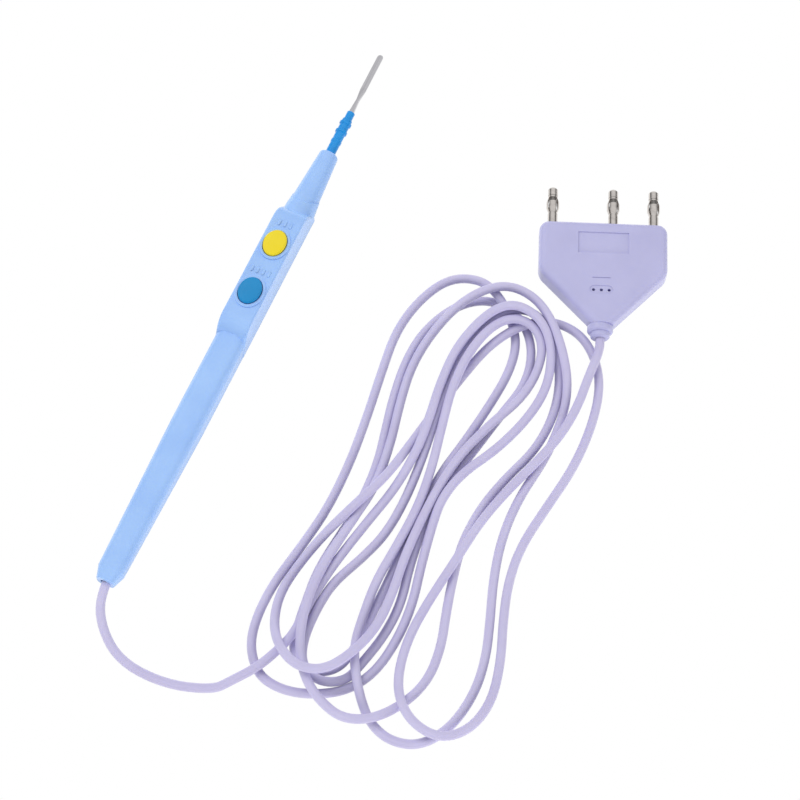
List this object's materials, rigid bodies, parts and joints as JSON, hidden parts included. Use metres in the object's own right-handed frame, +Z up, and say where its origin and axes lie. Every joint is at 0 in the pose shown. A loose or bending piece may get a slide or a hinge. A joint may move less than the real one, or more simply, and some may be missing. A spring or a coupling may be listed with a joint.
{
  "type": "electrosurgical pencil",
  "caption": "Hand-held electrosurgical pencil with cut and coagulate push buttons, a plug-in blade electrode, a folded cable and a pin plug.",
  "frame": {"origin": "on the floor under the middle of the pencil's length, electrode included", "axes": "+X along the pencil towards the blade's tip, +Y to its left seen from behind, +Z up out of the button side"},
  "size_m": [0.2199, 0.1243, 0.0142],
  "materials": {
    "shell_plastic": "satin",
    "cut_plastic": "satin",
    "coag_plastic": "satin",
    "sleeve_plastic": "gloss",
    "blade_steel": "brushed",
    "dome_steel": "bright",
    "board_laminate": "satin",
    "socket_brass": "turned",
    "core_insulation": "satin",
    "ferrule_metal": "satin",
    "cable_pvc": "satin",
    "plug_pvc": "satin",
    "pin_nickel": "bright"
  },
  "bodies": {
    "handle": {"top_shell": "shell_plastic", "bottom_shell": "shell_plastic", "cut_dome": "dome_steel", "coag_dome": "dome_steel", "switch_board": "board_laminate", "electrode_socket": "socket_brass", "electrode_lead": "core_insulation", "active_wire": "core_insulation", "cut_wire": "core_insulation", "coag_wire": "core_insulation", "cable_ferrule": "ferrule_metal", "cable_lead": "cable_pvc", "cable_hank": "cable_pvc", "cable_tail": "cable_pvc", "plug_body": "plug_pvc", "left_pin": "pin_nickel", "middle_pin": "pin_nickel", "right_pin": "pin_nickel", "left_spring": "pin_nickel", "middle_spring": "pin_nickel", "right_spring": "pin_nickel"},
    "cut_button": {"cut_button": "cut_plastic"},
    "coag_button": {"coag_button": "coag_plastic"},
    "electrode": {"electrode_blade": "blade_steel", "electrode_sleeve": "sleeve_plastic"}
  },
  "joints": [
    {"name": "cut_press", "type": "slide", "parent": "handle", "child": "cut_button", "axis": [0, 0, -1], "range_m": [0, 0.0006], "stiffness_N_per_m": 4000, "springref_m": -0.0001, "deforming": ["cut_dome"]},
    {"name": "coag_press", "type": "slide", "parent": "handle", "child": "coag_button", "axis": [0, 0, -1], "range_m": [0, 0.0006], "stiffness_N_per_m": 4000, "springref_m": -0.0001, "deforming": ["coag_dome"]},
    {"name": "electrode_pull", "type": "slide", "parent": "handle", "child": "electrode", "axis": [1, 0, 0], "range_m": [0, 0.012]}
  ]
}
